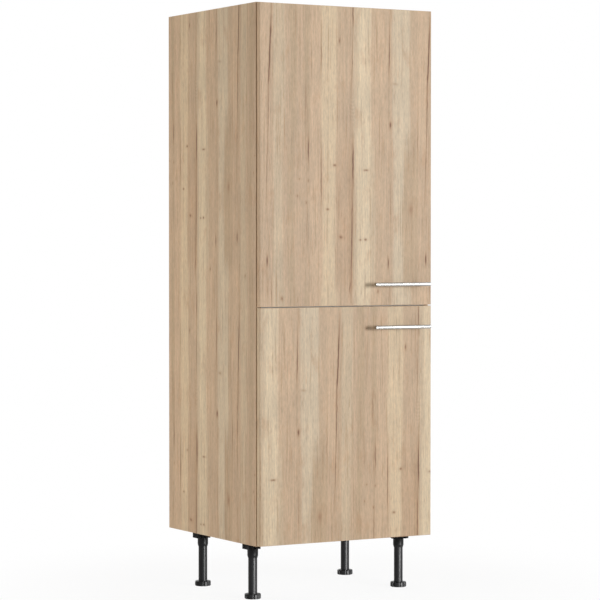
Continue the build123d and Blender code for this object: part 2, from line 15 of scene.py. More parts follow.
import bmesh
import bpy
import numpy as np
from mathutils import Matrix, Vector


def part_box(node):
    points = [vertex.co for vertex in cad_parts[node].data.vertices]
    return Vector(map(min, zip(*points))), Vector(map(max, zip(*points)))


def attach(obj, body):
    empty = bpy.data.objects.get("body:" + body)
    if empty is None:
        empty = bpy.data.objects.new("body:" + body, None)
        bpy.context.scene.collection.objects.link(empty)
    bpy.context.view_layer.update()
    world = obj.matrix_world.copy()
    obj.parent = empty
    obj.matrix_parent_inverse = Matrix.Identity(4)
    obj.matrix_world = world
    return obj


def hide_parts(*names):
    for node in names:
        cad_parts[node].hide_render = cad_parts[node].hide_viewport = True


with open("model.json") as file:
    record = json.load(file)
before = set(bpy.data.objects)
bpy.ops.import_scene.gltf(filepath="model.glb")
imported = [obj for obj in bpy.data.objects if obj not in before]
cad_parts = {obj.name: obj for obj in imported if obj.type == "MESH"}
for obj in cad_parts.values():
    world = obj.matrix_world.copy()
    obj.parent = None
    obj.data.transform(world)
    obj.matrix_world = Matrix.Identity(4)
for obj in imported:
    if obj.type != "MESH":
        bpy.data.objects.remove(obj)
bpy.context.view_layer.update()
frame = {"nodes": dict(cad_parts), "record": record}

LOG = logging.getLogger("cabinet")
MM = 0.001
PER_MM = 1000.0
FLAT = 0.5  # height of a surface without relief, halfway between pits and peaks

Colour = tuple[float, float, float, float]
Point = tuple[float, float, float]
Size = Union[float, Point]
Step = tuple[float, ...]


def display(*parts: float) -> Colour:
    """Turn a display colour, as red, green and blue from 0 to 255, into a shader's linear colour."""
    share = np.array(parts) / 255.0
    return (*np.where(share <= 0.04045, share / 12.92, ((share + 0.055) / 1.055) ** 2.4).tolist(), 1.0)


def joined_by(operation: str, swapped: bool = False) -> Callable[["Value", "Term"], "Value"]:
    """Make a method that joins a value and another term by a Math node.

    Args:
        operation: The node's operation.
        swapped: Whether the other term stands first, as in 1 - mask.

    Returns:
        The method.
    """
    def method(value: "Value", other: "Term") -> "Value":
        """Join the value and the other term."""
        return value.graph.math(operation, *((other, value) if swapped else (value, other)))

    return method


class Value:
    """A shader socket that takes part in Python arithmetic."""

    __add__, __radd__ = joined_by("ADD"), joined_by("ADD", swapped=True)
    __sub__, __rsub__ = joined_by("SUBTRACT"), joined_by("SUBTRACT", swapped=True)
    __mul__, __rmul__ = joined_by("MULTIPLY"), joined_by("MULTIPLY", swapped=True)
    __truediv__, __rtruediv__ = joined_by("DIVIDE"), joined_by("DIVIDE", swapped=True)
    at_least = joined_by("MAXIMUM")

    def __init__(self, graph: "Graph", socket: bpy.types.NodeSocket) -> None:
        """Keep the socket and the graph that it belongs to."""
        self.graph = graph
        self.socket = socket

    def wrapped(self, low: float, high: float) -> "Value":
        """The value carried round and round between two limits."""
        return self.graph.math("WRAP", self, high, low)

    def rise(self, low: float, high: float, top: float = 1.0) -> "Value":
        """A smooth step from 0 at low to its top at high, which may be below low."""
        inputs = {0: self, 1: low, 2: high, 3: 0.0, 4: top}
        return self.graph.node("ShaderNodeMapRange", {"interpolation_type": "SMOOTHSTEP"}, inputs)


Term = Union[Value, float, int]
Feed = Union[Value, float, int, Sequence[float]]


class Home(Enum):
    """What a node tree belongs to: Blender's collection of such things, and the tree's output node."""

    MATERIAL = ("materials", "ShaderNodeOutputMaterial")
    WORLD = ("worlds", "ShaderNodeOutputWorld")


class Graph:
    """The node tree of one material or world, filled by expressions."""

    def __init__(self, name: str, home: Home = Home.MATERIAL) -> None:
        """Start an empty tree.

        Args:
            name: Name of the material or world.
            home: Which of the two it is.
        """
        collection, self.output = home.value
        self.owner = getattr(bpy.data, collection).new(name)
        self.owner.use_nodes = True
        self.tree = self.owner.node_tree
        self.tree.nodes.clear()
        self.axes: Optional[tuple[Value, Value, Value]] = None

    def node(
        self,
        kind: str,
        settings: Optional[Mapping[str, Any]] = None,
        inputs: Optional[Mapping[Union[int, str], Feed]] = None,
        output: Union[int, str] = 0,
    ) -> Value:
        """Add any node.

        Args:
            kind: Blender's type of the node.
            settings: Properties of the node, set first. "stops" holds a ramp's places and colours.
            inputs: Values or links, by the socket's number or name.
            output: Number or name of the socket that is returned.

        Returns:
            The chosen output.
        """
        made = self.tree.nodes.new(kind)
        for key, setting in (settings or {}).items():
            if key == "stops":
                self.fill_ramp(made, setting)
            else:
                setattr(made, key, setting)
        for key, feed in (inputs or {}).items():
            if isinstance(feed, Value):
                self.tree.links.new(feed.socket, made.inputs[key])
            else:
                made.inputs[key].default_value = feed
        return Value(self, made.outputs[output])

    @staticmethod
    def fill_ramp(ramp_node: bpy.types.Node, stops: Sequence[tuple[float, Colour]]) -> None:
        """Give a ramp its stops.

        Args:
            ramp_node: The ramp.
            stops: Places from 0 to 1, in order, each with its colour.
        """
        elements = ramp_node.color_ramp.elements
        while len(elements) < len(stops):
            elements.new(1.0)
        for element, (place, colour) in zip(elements, stops):
            element.position = place
            element.color = colour

    def math(self, operation: str, *terms: Term) -> Value:
        """Add a Math node on its terms."""
        return self.node("ShaderNodeMath", {"operation": operation}, dict(enumerate(terms)))

    def vector(self, x: Term, y: Term, z: Term = 0.0) -> Value:
        """Join three terms into a vector."""
        return self.node("ShaderNodeCombineXYZ", inputs={0: x, 1: y, 2: z})

    def place(self) -> tuple[Value, Value, Value]:
        """The surface point's own X, Y and Z in metres."""
        if self.axes is None:
            kind, point = "ShaderNodeSeparateXYZ", self.node("ShaderNodeTexCoord", output="Object")
            self.axes = tuple(self.node(kind, inputs={0: point}, output=axis) for axis in range(3))
        return self.axes

    def noise(self, point: Value, detail: float = 2.0, roughness: float = 0.5) -> Value:
        """Smooth noise from -0.5 to 0.5, at a point in units of its grain, with rougher or finer layers."""
        inputs = {"Vector": point, "Scale": 1.0, "Detail": detail, "Roughness": roughness}
        return self.node("ShaderNodeTexNoise", inputs=inputs) - 0.5

    def speckle(self, size: Size, *layers: float) -> Value:
        """Noise on the surface point, by the size of its grain in metres, for all axes or for each."""
        steps = (axis / length for axis, length in zip(self.place(), np.broadcast_to(size, 3).tolist()))
        return self.noise(self.vector(*steps), *layers)

    def blend(self, share: Feed, first: Feed, second: Feed) -> Value:
        """Mix two colours by a share of the second."""
        return self.node("ShaderNodeMix", {"data_type": "RGBA"}, {0: share, 6: first, 7: second}, output=2)

    def between(self, share: Value, first: Term, second: Term) -> Value:
        """Mix two numbers by a share of the second."""
        return self.node("ShaderNodeMix", {"data_type": "FLOAT"}, {0: share, 2: first, 3: second})

    def brighter(self, colour: Value, factor: Value) -> Value:
        """Multiply a colour's brightness."""
        return self.node("ShaderNodeHueSaturation", inputs={"Color": colour, "Value": factor})

    def bump(self, height: Value, depth: float, strength: float) -> Value:
        """The normal of a relief with a height from 0 to 1, a depth in metres and a strength."""
        inputs = {"Height": height, "Distance": depth, "Strength": strength}
        return self.node("ShaderNodeBump", inputs=inputs)

    def seen(self) -> Value:
        """1 for what the camera sees, straight, mirrored or through clear pieces, and 0 for other light."""
        kinds = ("Camera", "Glossy", "Transmission")
        rays = [self.node("ShaderNodeLightPath", output=f"Is {kind} Ray") for kind in kinds]
        return rays[0].at_least(rays[1]).at_least(rays[2])

    def surface(self, **inputs: Feed) -> bpy.types.Material:
        """End the tree in a Principled shader, whose sockets are named with underscores for spaces."""
        named = {key.replace("_", " "): feed for key, feed in inputs.items()}
        return self.end(self.node("ShaderNodeBsdfPrincipled", inputs=named))

    def end(self, shader: Value) -> Union[bpy.types.Material, bpy.types.World]:
        """Link a shader to the tree's output and return the material or world."""
        output = self.tree.nodes.new(self.output)
        self.tree.links.new(shader.socket, output.inputs["Surface"])
        return self.owner


class Tone(Enum):
    """Tones of the driftwood print, as display colours."""

    CREAM = (221, 200, 168)
    STRAW = (217, 193, 159)
    SAGE = (211, 191, 162)
    OAT = (205, 182, 151)
    ROSE = (205, 176, 144)
    FAWN = (198, 170, 139)
    CLAY = (195, 165, 133)
    UMBER = (190, 163, 131)
    BARK = (184, 153, 120)


@dataclass(frozen=True)
class Mark:
    """A dark crack or knot of the print: an ellipse in mm, which may lean by mm across for each mm down."""

    across: float
    down: float
    half_width: float
    half_length: float
    strength: float
    lean: float = 0.0


# Strips of the print's head and foot, each from its left edge in mm to the next one's.
HEAD_STRIPS = {
    45: Tone.OAT, 84: Tone.FAWN, 100: Tone.UMBER, 126: Tone.FAWN, 149: Tone.UMBER,
    168: Tone.ROSE, 208: Tone.STRAW, 262: Tone.FAWN, 319: Tone.OAT, 336: Tone.CREAM,
    379: Tone.ROSE, 434: Tone.FAWN, 456: Tone.SAGE, 521: Tone.FAWN, 546: Tone.ROSE,
    582: Tone.FAWN,
}

FOOT_STRIPS = {
    45: Tone.OAT, 76: Tone.FAWN, 96: Tone.UMBER, 114: Tone.FAWN, 170: Tone.ROSE,
    215: Tone.STRAW, 256: Tone.CLAY, 302: Tone.BARK, 319: Tone.OAT, 331: Tone.CREAM,
    381: Tone.OAT, 396: Tone.FAWN, 447: Tone.FAWN, 459: Tone.SAGE, 496: Tone.UMBER,
    546: Tone.FAWN,
}

CRACKS = (
    Mark(586.0, 150, 2.6, 115, 1.0, -0.045),
    Mark(581.0, 330, 1.7, 150, 0.60, -0.02),
    Mark(577.0, 480, 1.5, 110, 0.50, -0.02),
    Mark(578.5, 640, 1.8, 50, 0.30, 0.04),
    Mark(577.5, 755, 3.0, 20, 0.75),
    Mark(580.0, 835, 1.6, 50, 0.35, 0.02),
    Mark(591.5, 850, 1.7, 50, 0.40),
    Mark(135.0, 110, 1.6, 110, 0.30),
    Mark(155.0, 275, 2.2, 75, 0.40),
    Mark(163.5, 430, 2.6, 60, 0.65),
    Mark(159.0, 640, 1.8, 90, 0.40, -0.01),
    Mark(209.0, 130, 1.7, 130, 0.35),
    Mark(207.5, 510, 2.0, 140, 0.55),
    Mark(318.0, 20, 2.4, 62, 0.70),
    Mark(315.0, 170, 1.7, 130, 0.55, -0.025),
    Mark(318.0, 470, 3.1, 70, 0.95),
    Mark(314.0, 690, 2.6, 185, 0.70, -0.012),
    Mark(307.0, 840, 2.2, 40, 0.45, -0.16),
    Mark(446.0, 120, 2.1, 115, 0.60, -0.02),
    Mark(450.5, 600, 1.7, 100, 0.40),
    Mark(442.5, 765, 2.8, 26, 0.60),
    Mark(465.0, 265, 1.4, 45, 0.35),
    Mark(548.0, 405, 2.1, 90, 0.50),
    Mark(391.0, 640, 1.5, 150, 0.25),
)

KNOTS = (
    Mark(271.0, 103, 4.6, 15, 0.42),
    Mark(254.0, 473, 9.0, 7.0, 0.40),
    Mark(230.0, 604, 10.0, 6.5, 0.36),
    Mark(277.0, 687, 13.0, 9.0, 0.40, 0.4),
    Mark(363.0, 486, 15.0, 5.5, 0.38),
    Mark(343.0, 695, 9.5, 5.8, 0.34),
    Mark(362.0, 694, 10.0, 6.3, 0.40),
    Mark(450.0, 349, 5.4, 16, 0.56),
    Mark(133.0, 515, 6.0, 6.0, 0.28),
    Mark(126.0, 565, 5.4, 8.0, 0.32),
    Mark(157.0, 585, 5.4, 10.0, 0.32),
    Mark(74.0, 868, 7.0, 11.0, 0.32),
    Mark(406.0, 850, 6.0, 12, 0.35),
    Mark(522.0, 605, 14.0, 34, 0.28),
    Mark(468.0, 225, 20.0, 9.0, 0.22, 0.5),
    Mark(164.0, 520, 5.0, 10.0, 0.30),
)


@dataclass(frozen=True)
class Streaks:
    """Noise of the print, in streaks of a width and a length in mm."""

    width: float
    length: float
    detail: float = 2.0
    roughness: float = 0.6
    shift: float = 0.0
    weight: float = 1.0

    def at(self, across: Value, down: Value) -> Value:
        """The noise at a place on the boards in mm, times its weight."""
        point = across.graph.vector(across / self.width + self.shift, down / self.length)
        return across.graph.noise(point, self.detail, self.roughness) * self.weight


@dataclass(frozen=True)
class DriftwoodPrint:
    """A printed driftwood decor that repeats across and down, measured in mm.

    A name that ends in step holds a smooth step: where it starts, where it is complete, and its height.
    """

    left: float = 45.0
    width: float = 553.5
    top: float = -54.0
    height: float = 939.0
    edge_softness: float = 4.5
    halo: float = 3.0
    crack: Colour = display(96, 56, 22)
    stain: Colour = display(166, 121, 83)
    russet: Colour = display(172, 130, 92)
    drift: Streaks = Streaks(60.0, 190.0, 3.0, 0.5, weight=15.0)
    fibre: Streaks = Streaks(6.5, 260.0, 4.0, 0.62)
    fine: Streaks = Streaks(2.3, 120.0)
    cloud: Streaks = Streaks(40.0, 100.0, 4.0)
    fleck: Streaks = Streaks(3.6, 17.0)
    patch: Streaks = Streaks(48.0, 120.0, 3.0, shift=3.0)
    pores: Streaks = Streaks(0.7, 10.0, 1.0, 0.5)
    wobble: Streaks = Streaks(10.0, 32.0, 1.0, 0.5, weight=3.4)
    hair: Streaks = Streaks(3.4, 75.0, shift=7.0)
    fibre_sway: float = 12.0
    seam_sway: float = 160.0
    head_end_step: Step = (330.0, 470.0)
    foot_end_step: Step = (880.0, 800.0)
    pore_step: Step = (0.08, 0.3)
    hair_step: Step = (0.1, 0.22, 0.55)
    fibre_step: Step = (0.05, 0.2, 0.6)
    cloud_step: Step = (0.03, 0.25, 0.4)
    light_fibre_step: Step = (0.02, -0.2, 0.12)
    stain_step: Step = (0.0, 0.6, 0.8)
    crack_step: Step = (0.3, 0.9, 0.9)
    brightness: float = 1.03
    fine_light: float = 0.5
    fleck_light: float = 0.5
    cloud_light: float = 0.23
    patch_light: float = 0.30
    pore_shade: float = 0.03
    mark_gain: float = 1.5
    mark_break: float = 2.0
    fine_relief: float = 0.5
    fibre_relief: float = 0.4
    pore_relief: float = 0.25
    ring: Mark = Mark(417.0, 150.0, 24.0, 62.0, 0.05)
    ring_inner_step: Step = (0.72, 0.86)
    ring_outer_step: Step = (1.02, 0.9)
    ring_foot_step: Step = (190.0, 140.0)
    ripple: Mark = Mark(316.0, 305.0, 15.0, 58.0, 0.05)
    ripple_step: Step = (1.0, 0.3)
    ripple_pitch: float = 11.0
    ripple_bow: float = 0.03
    ripple_wobble: float = 2.0

    def stops(self, strips: Mapping[float, Tone]) -> list[tuple[float, Colour]]:
        """Work out a ramp's stops: each strip is flat between the soft stretches at its edges.

        Args:
            strips: The strips from left to right.

        Returns:
            Places from 0 to 1 with their colours.
        """
        ends = [*strips, self.left + self.width][1:]
        stops = []
        for (edge, tone), end in zip(strips.items(), ends):
            soft = min(self.edge_softness, (end - edge) / 3)
            for place in (edge + soft, end - soft):
                stops.append(((place - self.left) / self.width, display(*tone.value)))
        return stops

    @staticmethod
    def ellipse(u: Value, v: Value, mark: Mark) -> Value:
        """Distance from a mark's centre, 1 on its ellipse.

        Args:
            u: Place across the print in mm.
            v: Place down the print in mm.
            mark: The mark.

        Returns:
            The distance in units of the ellipse.
        """
        graph = u.graph
        upright = u - v * mark.lean if mark.lean else u
        centre = mark.across - mark.down * mark.lean
        scale = (1.0 / mark.half_width, 1.0 / mark.half_length, 0.0)
        shift = (-centre * scale[0], -mark.down * scale[1], 0.0)
        inputs = {0: graph.vector(upright, v), 1: scale, 2: shift}
        local = graph.node("ShaderNodeVectorMath", {"operation": "MULTIPLY_ADD"}, inputs)
        return graph.node("ShaderNodeVectorMath", {"operation": "LENGTH"}, {0: local}, output="Value")

    def shade(self, distance: Value, strength: float) -> Value:
        """Darkness that falls with the square of the distance from a mark, so that it keeps a soft halo."""
        return strength / (1.0 + distance * distance * self.halo)

    def marks(self, u: Value, v: Value) -> Value:
        """The largest darkness of any crack or knot at a place of the print in mm, from 0 to 1."""
        shades = [self.shade(self.ellipse(u, v, mark), mark.strength) for mark in CRACKS + KNOTS]
        return reduce(Value.at_least, shades)

    def paint(self, across: Value, down: Value) -> tuple[Value, Value]:
        """Colour the print at a place in mm.

        The strips' colours come from two ramps, one for the head of the print and one for its foot. Streaks
        of noise, long down and narrow across, make the grain. Cracks, knots, one arched ring and a patch of
        ripples lie over them.

        Args:
            across: Place across the boards.
            down: Place down the boards.

        Returns:
            The colour, and the relief from about 0 in pores to 1 on ridges.
        """
        graph = across.graph
        u = across.wrapped(self.left, self.left + self.width)
        v = down.wrapped(self.top, self.top + self.height)
        drift, fibre, fine, cloud, fleck, patch, pores, wobble = (
            streaks.at(across, down)
            for streaks in (self.drift, self.fibre, self.fine, self.cloud,
                            self.fleck, self.patch, self.pores, self.wobble)
        )
        pores = pores.rise(*self.pore_step)

        place = (u + drift + fibre * self.fibre_sway - self.left) / self.width
        head, foot = (
            graph.node("ShaderNodeValToRGB", {"stops": self.stops(strips)}, {0: place})
            for strips in (HEAD_STRIPS, FOOT_STRIPS)
        )
        lower = (v + cloud * self.seam_sway).rise(*self.head_end_step) * v.rise(*self.foot_end_step)
        colour = graph.blend(lower, head, foot)
        hair = self.hair.at(across, down).rise(*self.hair_step)
        streak = fibre.rise(*self.fibre_step) + cloud.rise(*self.cloud_step)
        colour = graph.blend(streak.at_least(hair), colour, self.russet)
        grain = self.brightness + fibre.rise(*self.light_fibre_step)
        grain = grain + fine * self.fine_light + fleck * self.fleck_light - pores * self.pore_shade
        grain = grain + cloud * self.cloud_light + patch * self.patch_light

        bent = u + wobble
        ring = self.ellipse(bent, v, self.ring)
        arch = ring.rise(*self.ring_inner_step) * ring.rise(*self.ring_outer_step)
        arch = arch * v.rise(*self.ring_foot_step)
        aside = u - self.ripple.across
        bowed = v + aside * aside * self.ripple_bow + wobble * self.ripple_wobble
        waves = graph.math("SINE", bowed * (math.tau / self.ripple_pitch))
        ripple = self.ellipse(bent, v, self.ripple).rise(*self.ripple_step, self.ripple.strength)
        grain = grain + arch * self.ring.strength + waves * ripple

        colour = graph.brighter(colour, grain)
        dark = self.marks(bent, v) * (self.mark_gain + (fibre + cloud) * self.mark_break)
        colour = graph.blend(dark.rise(*self.stain_step), colour, self.stain)
        colour = graph.blend(dark.rise(*self.crack_step), colour, self.crack)
        relief = FLAT + fine * self.fine_relief + fibre * self.fibre_relief - pores * self.pore_relief
        return colour, relief


PRINT = DriftwoodPrint()


@dataclass(frozen=True)
class Mottle:
    """A number that a fine grain and broad clouds move up and down by their weights."""

    middle: float
    fine: float = 0.0
    cloud: float = 0.0

    def at(self, fine: Value, cloud: Value) -> Value:
        """The number where the grain and the clouds have these values."""
        return self.middle + fine * self.fine + cloud * self.cloud


@dataclass(frozen=True)
class Chipboard:
    """The raw core of a board, seen at edges without a tape and inside holes."""

    chip: float = 2.6 * MM
    light: Colour = display(205, 176, 134)
    dark: Colour = display(134, 101, 66)
    dust_layers: tuple[float, float] = (3.0, 0.7)
    dust_shade: float = 0.7

    def paint(self, graph: Graph) -> Value:
        """Colour flat chips of two sizes.

        Args:
            graph: The material's graph.

        Returns:
            The colour.
        """
        point = graph.node("ShaderNodeTexCoord", output="Object")
        inputs = {"Vector": point, "Scale": 1.0 / self.chip, "Randomness": 1.0}
        cells = graph.node("ShaderNodeTexVoronoi", {"distance": "MANHATTAN"}, inputs, output="Color")
        shade = graph.node("ShaderNodeSeparateColor", inputs={0: cells})
        dust = graph.speckle(self.chip / 2.0, *self.dust_layers)
        return graph.blend(shade + dust * self.dust_shade, self.light, self.dark)


CORE = Chipboard()


@dataclass(frozen=True)
class WhiteMelamine:
    """The white face of the carcass boards."""

    colour: Colour = display(240, 238, 232)
    shade: Colour = display(229, 226, 219)
    pebble: float = 0.9 * MM
    cloud: float = 160 * MM
    tint: Mottle = Mottle(0.4, 0.25, 0.9)

    def paint(self, graph: Graph) -> tuple[Value, Value]:
        """Colour a white face with a faint pebble.

        Args:
            graph: The material's graph.

        Returns:
            The colour and the relief.
        """
        pebble, cloud = graph.speckle(self.pebble), graph.speckle(self.cloud)
        colour = graph.blend(self.tint.at(pebble, cloud).at_least(0.0), self.colour, self.shade)
        return colour, pebble + FLAT


WHITE = WhiteMelamine()


class Face(Enum):
    """What covers one face of a board."""

    DECOR = "decor"
    WHITE = "white"


class Run(Enum):
    """The way that a decor face runs, left to right, as its axis and sign."""

    RIGHT = (0, 1.0)
    FORWARD = (1, -1.0)
    BACKWARD = (1, 1.0)


@dataclass(frozen=True)
class Board:
    """The finish of one board: faces by position, over a chipboard core.

    The faces dictionary goes by side, such as "-x" or "+z". A face without an entry is raw core. The relief
    is its depth in metres and its strength.
    """

    node: str
    faces: Mapping[str, Face]
    run: Run = Run.RIGHT
    print_across: float = 0.0
    print_down: float = 0.0
    skin: float = 0.45 * MM
    roughness: float = 0.46
    roughness_change: float = 0.08
    core_roughness: float = 0.85
    sheen: float = 0.4
    relief: tuple[float, float] = (0.10 * MM, 0.6)

    def material(self) -> bpy.types.Material:
        """Build the board's material.

        Returns:
            The material, with decor, white and core placed by the point's distance from each face.
        """
        graph = Graph(f"board_{self.node}")
        place = graph.place()
        colour = CORE.paint(graph)
        rough: Term = self.core_roughness
        height: Term = FLAT
        for kind in (Face.WHITE, Face.DECOR):
            sides = [side for side, face in self.faces.items() if face is kind]
            if not sides:
                continue
            mask = self.near(place, sides)
            paint, relief = self.decor(place) if kind is Face.DECOR else WHITE.paint(graph)
            colour = graph.blend(mask, colour, paint)
            rough = graph.between(mask, rough, self.roughness + relief * self.roughness_change)
            height = graph.between(mask, height, relief)
        normal = graph.bump(height, *self.relief)
        return graph.surface(Base_Color=colour, Roughness=rough, Normal=normal, Specular_IOR_Level=self.sheen)

    def near(self, place: Sequence[Value], sides: Iterable[str]) -> Value:
        """Tell whether a point lies in the skin of any of some faces.

        Args:
            place: The point's X, Y and Z.
            sides: The faces, such as "-x".

        Returns:
            1 in the skin and 0 elsewhere.
        """
        low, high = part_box(self.node)
        inside = []
        for sign, letter in sides:
            axis = "xyz".index(letter)
            depth = place[axis] - low[axis] if sign == "-" else high[axis] - place[axis]
            inside.append(depth.graph.math("LESS_THAN", depth, self.skin))
        return reduce(Value.at_least, inside)

    def decor(self, place: Sequence[Value]) -> tuple[Value, Value]:
        """Lay the print on the board: down the face, round its upright edges, and along its level edges.

        Args:
            place: The point's X, Y and Z.

        Returns:
            The colour and the relief.
        """
        low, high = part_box(self.node)
        axis, sign = self.run.value
        start = low[axis] if sign > 0 else high[axis]
        other = 1 - axis
        along = (place[axis] - start) * (sign * PER_MM)
        round_edge = (place[other] - low[other]) * PER_MM
        down = (high[2] - place[2]) * PER_MM
        across = along + round_edge + self.print_across
        level = self.near(place, ("-z", "+z"))
        across = level.graph.between(level, across, round_edge + self.print_across)
        down = level.graph.between(level, down + self.print_down, along)
        return PRINT.paint(across, down)


@dataclass(frozen=True)
class Hardboard:
    """A thin back panel: white in front, brown fibre with a screen pattern behind.

    The fibre and the smears are each a grain's size and its layers.
    """

    front: float
    skin: float = 0.4 * MM
    brown: Colour = display(180, 142, 102)
    deep: Colour = display(136, 99, 65)
    screen: float = 1.6 * MM
    fibre: tuple[float, ...] = (2.5 * MM, 4.0, 0.7)
    smear: tuple[Size, float, float] = ((60 * MM, 60 * MM, 90 * MM), 5.0, 0.65)
    tint: Mottle = Mottle(0.45, 1.1, 0.9)
    weave_tint: float = 0.12
    weave_relief: float = 0.4
    rear_roughness: Mottle = Mottle(0.8, 0.2)
    front_roughness: float = 0.5
    relief: tuple[float, float] = (0.15 * MM, 0.6)

    def material(self) -> bpy.types.Material:
        """Build the panel's material.

        Returns:
            The material.
        """
        graph = Graph("hardboard")
        x, y, z = graph.place()
        white, pebble = WHITE.paint(graph)
        fibre, smear = graph.speckle(*self.fibre), graph.speckle(*self.smear)
        pitch = math.tau / self.screen
        weave = graph.math("SINE", x * pitch) * graph.math("SINE", z * pitch)
        depth = (self.tint.at(fibre, smear) + weave * self.weave_tint).at_least(0.0)
        mask = graph.math("LESS_THAN", y - self.front, self.skin)
        colour = graph.blend(mask, graph.blend(depth, self.brown, self.deep), white)
        rough = graph.between(mask, self.rear_roughness.at(fibre, smear), self.front_roughness)
        height = graph.between(mask, FLAT + weave * self.weave_relief, pebble)
        normal = graph.bump(height, *self.relief)
        return graph.surface(Base_Color=colour, Roughness=rough, Normal=normal)


@dataclass(frozen=True)
class Thread:
    """A screw thread of a moulded piece, between two heights."""

    low: float
    high: float
    pitch: float = 3.0 * MM
    weight: float = 1.5

    def at(self, z: Value) -> Value:
        """The thread's part of the relief at a height, 0 beyond its ends."""
        inside = z.graph.math("GREATER_THAN", z, self.low) * z.graph.math("LESS_THAN", z, self.high)
        return z.graph.math("SINE", z * (math.tau / self.pitch)) * inside * self.weight


@dataclass(frozen=True)
class Finish:
    """A finish between two colours, with a fine grain and broad clouds, each of a size and a detail.

    The relief is its depth in metres and its strength. The sockets are the shader's constant values.
    """

    name: str
    colour: Colour
    shade: Colour
    fine: tuple[Size, float]
    tint: Mottle
    roughness: Mottle
    sockets: Mapping[str, float]
    cloud: tuple[Size, float] = (20 * MM, 2.0)
    height: Mottle = Mottle(FLAT)
    relief: Optional[tuple[float, float]] = None
    thread: Optional[Thread] = None

    def material(self) -> bpy.types.Material:
        """Build the finish.

        Returns:
            The material.
        """
        graph = Graph(self.name)
        fine, cloud = graph.speckle(*self.fine), graph.speckle(*self.cloud)
        colour = graph.blend(self.tint.at(fine, cloud).at_least(0.0), self.colour, self.shade)
        inputs = {"Base_Color": colour, "Roughness": self.roughness.at(fine, cloud), **self.sockets}
        if self.relief is not None:
            height = self.height.at(fine, cloud)
            if self.thread is not None:
                height = height + self.thread.at(graph.place()[2])
            inputs["Normal"] = graph.bump(height, *self.relief)
        return graph.surface(**inputs)


# Moulded plastic of the legs, with a fine spark-eroded grain.
BLACK_PLASTIC = Finish(
    "black_plastic", display(15, 15, 16), display(24, 24, 25), fine=(0.7 * MM, 2.0),
    tint=Mottle(0.4, cloud=1.2), roughness=Mottle(0.36, 0.1, 0.16), sockets={"Specular_IOR_Level": 0.13},
    cloud=((30 * MM, 30 * MM, 50 * MM), 3.0), height=Mottle(FLAT, 0.03), relief=(0.3 * MM, 0.5),
)
# Brushed steel of the handles, with fine scratches that run round the bar.
SATIN_STEEL = Finish(
    "satin_steel", display(184, 183, 180), display(166, 165, 162), fine=((0.25 * MM, 6 * MM, 6 * MM), 2.0),
    tint=Mottle(0.4, 0.8, 0.4), roughness=Mottle(0.24, 0.12), sockets={"Metallic": 1.0},
    height=Mottle(FLAT, 0.5), relief=(0.02 * MM, 0.4),
)
# Nickel-plated steel of hinges, screws and fittings.
PLATED_STEEL = Finish(
    "plated_steel", display(212, 210, 205), display(186, 183, 176), fine=(1.2 * MM, 3.0),
    tint=Mottle(0.4, cloud=0.8), roughness=Mottle(0.26, 0.08, 0.1), sockets={"Metallic": 1.0},
    cloud=(11 * MM, 3.0), height=Mottle(FLAT, 0.5), relief=(0.02 * MM, 0.3),
)
# Clear soft dots that the doors land on.
CLEAR_BUMPER = Finish(
    "clear_bumper", display(214, 216, 212), display(190, 193, 189), fine=(2 * MM, 2.0),
    tint=Mottle(0.3, 1.0), roughness=Mottle(0.25, 0.1), sockets={"Transmission_Weight": 0.5, "IOR": 1.45},
)


@dataclass(frozen=True)
class RawBeech:
    """Turned beech of the dowels, with flecks along the grain."""

    colour: Colour = display(214, 178, 132)
    fleck: Colour = display(168, 122, 80)
    grain: Point = (6 * MM, 0.7 * MM, 0.7 * MM)
    detail: float = 3.0
    fleck_step: Step = (-0.1, 0.35, 0.7)
    roughness: float = 0.6
    roughness_change: float = 0.2

    def material(self) -> bpy.types.Material:
        """Build the beech.

        Returns:
            The material.
        """
        graph = Graph("raw_beech")
        fleck = graph.speckle(self.grain, self.detail)
        colour = graph.blend(fleck.rise(*self.fleck_step), self.colour, self.fleck)
        return graph.surface(Base_Color=colour, Roughness=self.roughness + fleck * self.roughness_change)


def dress(material: bpy.types.Material, *nodes: str) -> None:
    """Give solids their material.

    Args:
        material: The material.
        nodes: Names of the solids' nodes.
    """
    for node in nodes:
        for slot in frame["nodes"][node].material_slots:
            slot.material = material
        LOG.info("dressed %s in %s", node, material.name)


def put(name: str, data: bpy.types.ID) -> bpy.types.Object:
    """Put an object into the scene.

    Args:
        name: Name of the object.
        data: Its mesh, light or camera.

    Returns:
        The object, at the origin.
    """
    made = bpy.data.objects.new(name, data)
    bpy.context.scene.collection.objects.link(made)
    return made


def solids_of(mesh: bpy.types.Mesh) -> list[np.ndarray]:
    """Split a node's mesh into its solids.

    Corners at the same place are one point. Every point starts with a number of its own, and each triangle
    passes the lowest number among its corners to all three, until the points of one solid share one number.

    Args:
        mesh: The node's mesh.

    Returns:
        The points of each solid.
    """
    mesh.calc_loop_triangles()
    places = np.empty(len(mesh.vertices) * 3, dtype=np.float32)
    corners = np.empty(len(mesh.loop_triangles) * 3, dtype=np.int32)
    mesh.vertices.foreach_get("co", places)
    mesh.loop_triangles.foreach_get("vertices", corners)
    points, number = np.unique(places.reshape(-1, 3).round(6), axis=0, return_inverse=True)
    corners = number.ravel()[corners]
    label = np.arange(len(points))
    settled = False
    while not settled:
        lowest = label[corners.reshape(-1, 3)].min(axis=1)
        passed = label.copy()
        np.minimum.at(passed, corners, np.repeat(lowest, 3))
        settled = np.array_equal(passed, label)
        label = passed
    return [points[label == group].astype(float) for group in np.unique(label)]


